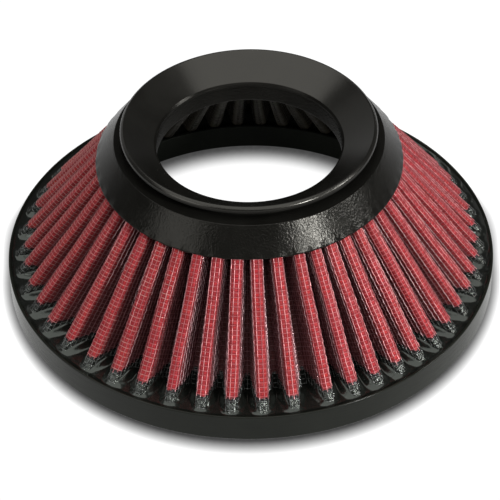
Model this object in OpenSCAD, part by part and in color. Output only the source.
// Tapered pleated air filter element: a wide sealing ring at the bottom,
// a cone of pleated wire-and-gauze media, and a moulded cap with an open mouth.
// Millimetres. Origin: centre of the bottom sealing face, +Z along the axis
// from the wide end to the mouth. The front of the element faces -Y.

/* [Base ring] */
// Outer diameter of the bottom sealing ring
ring_od = 165; // [150:1:180]
// Height of the sealing ring
ring_h = 9.85; // [8:0.05:12]
// Radius of the clear opening in the sealing ring
ring_open_r = 64.9; // [60:0.1:65]
// Thickness of the ring's floor, the part that seals
ring_floor = 2.5; // [2:0.1:4]
// Wall left outside the trough that holds the potting
ring_wall = 1.4; // [1:0.1:2]

/* [Pleated media] */
// Number of pleats around the cone
pleats = 51; // [40:1:60]
// Radius of the pleat tips where they enter the cap
tip_r_top = 50.1; // [49:0.1:50.3]
// Radius of the pleat tips where they enter the potting
tip_r_bottom = 80.5; // [78:0.1:80.5]
// Depth of a pleat, from its outer tip to its inner fold
pleat_depth = 14; // [13.5:0.1:14]
// Half the width of a pleat tip
tip_half_w = 2.05; // [2:0.01:2.3]
// Half the gap between two pleats at the inner fold, top end
gap_top = 0.15; // [0.1:0.01:0.2]
// Half the gap between two pleats at the inner fold, bottom end
gap_bottom = 0.7; // [0.4:0.05:0.9]
// How unevenly the pleats are spread round the cone, in degrees
spread = 6.5; // [0:0.1:6.5]
// Thickness of each wire screen
screen_t = 0.36; // [0.3:0.01:0.38]
// Thickness of each gauze ply
ply_t = 0.2; // [0.15:0.01:0.2]
// Clearance between neighbouring layers
layer_gap = 0.02; // [0.01:0.01:0.02]

/* [Cap] */
// Radius of the skirt's lower edge
skirt_r = 50.8; // [50.5:0.1:52]
// Radius of the shelf edge at the top of the skirt
shelf_r = 44.4; // [43:0.1:45]
// Height of the cap's lower face
cap_z0 = 48.1; // [47:0.1:49]
// Height of the shelf edge
shelf_z = 57.0; // [55.5:0.1:57.4]
// Radius of the neck at the bottom of the groove under the lip
neck_r = 38.6; // [38:0.1:40]
// Radius of the lip's outer edge
lip_r = 42.3; // [42:0.1:43]
// Height of the lip's lower edge
lip_z = 59.7; // [59.2:0.1:60.1]
// Overall height of the element
total_h = 61.8; // [61.7:0.1:62.5]
// Radius of the mouth bore
mouth_r = 30.6; // [30:0.05:31]
// Height where the bore opens into the funnel
bore_top = 54.75; // [54:0.05:55]

/* [Seam] */
// Thickness of the strip that closes the pleated sheet
clip_t = 0.3; // [0.2:0.05:0.3]

/* [Hidden] */
$fn = 96;

potting_color = [0.05, 0.05, 0.05];
potting_gap = 0.02;               // clearance between potting and trough or bore wall

// Base ring: trough between an outer and an inner wall
ring_r = ring_od / 2;
trough_out_r = ring_r - ring_wall;
trough_in_r = ring_open_r + 1.3;
potting_z = 8.5;                  // level of the potting in the trough

// Cap: channel in the lower face, its outer side sloping inward at 45 degrees
crest_r = 41.0;                   // highest circle of the lip
channel_in_r = mouth_r + 2.1;
channel_out_r = skirt_r - 2.0;
channel_h = 3.4;
top_potting_out_r = channel_out_r - 0.05;
top_potting_h = channel_h - 0.04;

// Media: the pleats stand on the base potting and end under the cap
media_gap = 0.05;
media_z0 = potting_z + media_gap;
media_z1 = cap_z0 - media_gap;
plies = 4;
pack_t = 2 * screen_t + plies * ply_t + (plies + 1) * layer_gap;
slant = atan2(media_z1 - media_z0, tip_r_bottom - tip_r_top);  // tip line above horizontal
level_scale = 1 / sin(slant);     // horizontal distance per unit of depth in the pack
pitch = 360 / pleats;
first_angle = -4;                 // first pleat, before the uneven spread
spread_phase = 75.8;

// Pleat corners are bevelled; bevels change with depth so the layers stay parallel
tip_bevel = 1.15;
fold_bevel = 0.05;
bevel_rate = 0.586;

// Seam clip
clip_pleat = 0;                   // the clip sits in the fold after this pleat
clip_gap = 0.04;                  // clearance to the inner wire screen
clip_reach = 0.3;                 // fraction of the pleat side its legs cover
clip_ends = [0.02, 0.98];         // bottom and top, as fractions of the media height

// Angles of a pleat's centre and of the fold after it, from the front towards +X
function pleat_angle(i) = first_angle + i * pitch + spread * sin(i * pitch + spread_phase);
function fold_angle(i) = (pleat_angle(i) + pleat_angle(i + 1)) / 2;

// Values at a level of the media, 0 at the bottom and 1 at the top
function level_z(level) = media_z0 + (media_z1 - media_z0) * level;
function tip_r(level) = tip_r_top + (tip_r_bottom - tip_r_top) * (1 - level);
function half_gap(level) = gap_top + (gap_bottom - gap_top) * (1 - level);

// Values at a depth in the pack, measured inward from its outer face
function fold_r(depth, level) = tip_r(level) - pleat_depth + (pack_t - depth) * level_scale;
function fold_half_w(depth, level) = half_gap(level) + depth;
function fold_bevel_at(depth) = fold_bevel + bevel_rate * depth;

// A point from its angle, its sideways offset along the arc, radius and height
function place(angle, offset, radius, z) =
    let (turn = angle - 90 + offset / radius * 180 / PI)
    [radius * cos(turn), radius * sin(turn), z];

// The four points round the tip of pleat i
function tip_pts(i, depth, level) =
    let (angle = pleat_angle(i),
         z = level_z(level),
         radius = tip_r(level) - depth * level_scale,
         half_w = tip_half_w - depth,
         bevel = tip_bevel - bevel_rate * depth)
    [place(angle, -half_w, radius - bevel, z), place(angle, -(half_w - bevel), radius, z),
     place(angle, half_w - bevel, radius, z), place(angle, half_w, radius - bevel, z)];

// The four points round the inner fold after pleat i
function fold_pts(i, depth, level) =
    let (angle = fold_angle(i),
         z = level_z(level),
         radius = fold_r(depth, level),
         half_w = fold_half_w(depth, level),
         bevel = fold_bevel_at(depth))
    [place(angle, -half_w, radius + bevel, z), place(angle, -(half_w - bevel), radius, z),
     place(angle, half_w - bevel, radius, z), place(angle, half_w, radius + bevel, z)];

// One full turn of the pleated sheet
function sheet_pts(depth, level) =
    [for (i = [0 : pleats - 1])
        each concat(tip_pts(i, depth, level), fold_pts(i, depth, level))];

// The clip's section: the fold points with the end of a leg on each side
function clip_pts(depth, level) =
    let (angle = fold_angle(clip_pleat),
         z = level_z(level),
         half_angle = (pleat_angle(clip_pleat + 1) - pleat_angle(clip_pleat)) / 2,
         half_w = fold_half_w(depth, level),
         leg_r0 = fold_r(depth, level) + fold_bevel_at(depth),
         side_r = tip_r(level) - tip_bevel,
         side_offset = half_angle * PI / 180 * side_r - (tip_half_w - depth),
         leg_offset = half_w + (side_offset - half_w) * clip_reach,
         leg_r = leg_r0 + (side_r - leg_r0) * clip_reach)
    concat([place(angle, -leg_offset, leg_r, z)],
           fold_pts(clip_pleat, depth, level),
           [place(angle, leg_offset, leg_r, z)]);

// Faces of a shell whose points are four rows of n: bottom and top of its
// outer surface, then bottom and top of its inner surface. Each strip joins
// column k to the next one, wrapping round after the last.
function strip_faces(n, strips) =
    [for (k = [0 : strips - 1])
        let (next = (k + 1) % n,
             out0 = k, out0_next = next,
             out1 = n + k, out1_next = n + next,
             in0 = 2 * n + k, in0_next = 2 * n + next,
             in1 = 3 * n + k, in1_next = 3 * n + next)
        each [[out0, out1_next, out0_next], [out0, out1, out1_next],
              [in0, in0_next, in1_next], [in0, in1_next, in1],
              [out0, out0_next, in0_next], [out0, in0_next, in0],
              [out1, in1_next, out1_next], [out1, in1, in1_next]]];

// A closed pleated sheet, its outer face at a given depth in the pack
module sheet(depth, thickness) {
    inner = depth + thickness;
    points = concat(sheet_pts(depth, 0), sheet_pts(depth, 1),
                    sheet_pts(inner, 0), sheet_pts(inner, 1));
    n = 8 * pleats;
    polyhedron(points = points, convexity = 12, faces = strip_faces(n, n));
}

module base_ring() {
    color([0.13, 0.14, 0.13]) rotate_extrude($fn = 180) polygon([
        // sealing face and outer wall
        [ring_open_r + 0.8, 0], [ring_r - 1.0, 0],
        [ring_r - 0.3, 0.3], [ring_r, 1.0],
        [ring_r, ring_h - 0.5], [ring_r - 0.5, ring_h],
        [trough_out_r + 0.2, ring_h], [trough_out_r, ring_h - 0.4],
        // trough floor
        [trough_out_r, ring_floor], [trough_in_r, ring_floor],
        // inner wall
        [trough_in_r, ring_h - 0.9], [ring_open_r + 1.0, ring_h - 0.5],
        [ring_open_r, ring_h - 0.5], [ring_open_r, 0.8]]);
}

module base_potting() {
    in_r = trough_in_r + potting_gap;
    out_r = trough_out_r - potting_gap;
    z0 = ring_floor + potting_gap;
    color(potting_color) rotate_extrude($fn = 180) polygon([
        [in_r, z0], [out_r, z0], [out_r, potting_z], [in_r, potting_z]]);
}

module top_cap() {
    color([0.09, 0.09, 0.09]) rotate_extrude($fn = 180) polygon([
        // channel for the top potting
        [mouth_r, cap_z0], [channel_in_r, cap_z0],
        [channel_in_r, cap_z0 + channel_h], [channel_out_r - channel_h, cap_z0 + channel_h],
        [channel_out_r, cap_z0],
        // skirt
        [skirt_r - 0.4, cap_z0], [skirt_r, cap_z0 + 0.4],
        [shelf_r + 0.3, shelf_z - 0.3], [shelf_r - 0.1, shelf_z],
        // groove under the lip
        [neck_r + 0.6, shelf_z], [neck_r, shelf_z + 0.6],
        [neck_r, lip_z - 1.0], [neck_r + 0.5, lip_z - 0.5],
        [lip_r - 0.4, lip_z - 0.1],
        // lip
        [lip_r, lip_z + 0.25], [lip_r, total_h - 1.3],
        [lip_r - 0.4, total_h - 0.5], [crest_r + 0.5, total_h - 0.15],
        [crest_r, total_h], [crest_r - 0.6, total_h - 0.1],
        [crest_r - 1.3, total_h - 0.5],
        // funnel into the mouth
        [mouth_r + 0.6, bore_top + 0.65], [mouth_r, bore_top]]);
}

module top_potting() {
    in_r = channel_in_r + potting_gap;
    z1 = cap_z0 + top_potting_h;
    color(potting_color) rotate_extrude($fn = 180) polygon([
        [in_r, cap_z0], [top_potting_out_r, cap_z0],
        [top_potting_out_r - top_potting_h, z1], [in_r, z1]]);
}

module outer_wire_screen() {
    color([0.75, 0.68, 0.68]) sheet(0, screen_t);
}

// Gauze ply k, counted inward from 0
module gauze_ply(k) {
    color([0.72, 0.10, 0.14])
        sheet(screen_t + layer_gap + k * (ply_t + layer_gap), ply_t);
}

module gauze_ply_1() { gauze_ply(0); }
module gauze_ply_2() { gauze_ply(1); }
module gauze_ply_3() { gauze_ply(2); }
module gauze_ply_4() { gauze_ply(3); }

module inner_wire_screen() {
    color([0.70, 0.66, 0.66]) sheet(pack_t - screen_t, screen_t);
}

// A strip folded over one inner fold of the inner wire screen
module seam_clip() {
    depth = pack_t + clip_gap;
    points = [for (d = [depth, depth + clip_t], level = clip_ends) each clip_pts(d, level)];
    n = 6;
    leg_ends = [
        [0, 2 * n, 3 * n], [0, 3 * n, n],
        [n - 1, 2 * n - 1, 4 * n - 1], [n - 1, 4 * n - 1, 3 * n - 1]];
    color([0.72, 0.72, 0.74])
        polyhedron(points = points, faces = concat(strip_faces(n, n - 1), leg_ends));
}

base_ring();
base_potting();
top_cap();
top_potting();
outer_wire_screen();
gauze_ply_1();
gauze_ply_2();
gauze_ply_3();
gauze_ply_4();
inner_wire_screen();
seam_clip();
